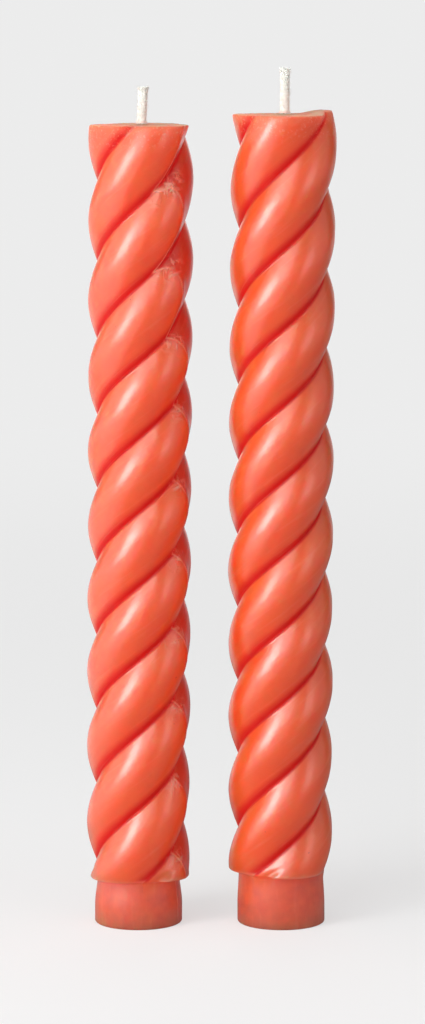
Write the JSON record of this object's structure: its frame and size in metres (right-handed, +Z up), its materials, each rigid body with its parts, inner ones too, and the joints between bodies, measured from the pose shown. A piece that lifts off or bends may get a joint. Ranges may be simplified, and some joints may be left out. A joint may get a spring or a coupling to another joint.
{
  "type": "twist candle pair",
  "caption": "Spiral dinner candles side by side: twisted wax columns on round holder plugs, each poured round a braided cotton wick.",
  "frame": {"origin": "on the standing surface, halfway between the two candles", "axes": "+Z up along the candles, +X from the left candle to the right one, the front towards -Y"},
  "size_m": [0.062, 0.0262, 0.2133],
  "materials": {
    "wax": "satin",
    "cotton_wick": "matte"
  },
  "bodies": {
    "left_candle": {"left_wax_casting": "wax", "left_wick": "cotton_wick"},
    "right_candle": {"right_wax_casting": "wax", "right_wick": "cotton_wick"}
  },
  "joints": [
    {"name": "right_candle_lift", "type": "slide", "parent": "left_candle", "child": "right_candle", "axis": [0, 0, 1], "range_m": [0, 0.22]}
  ]
}
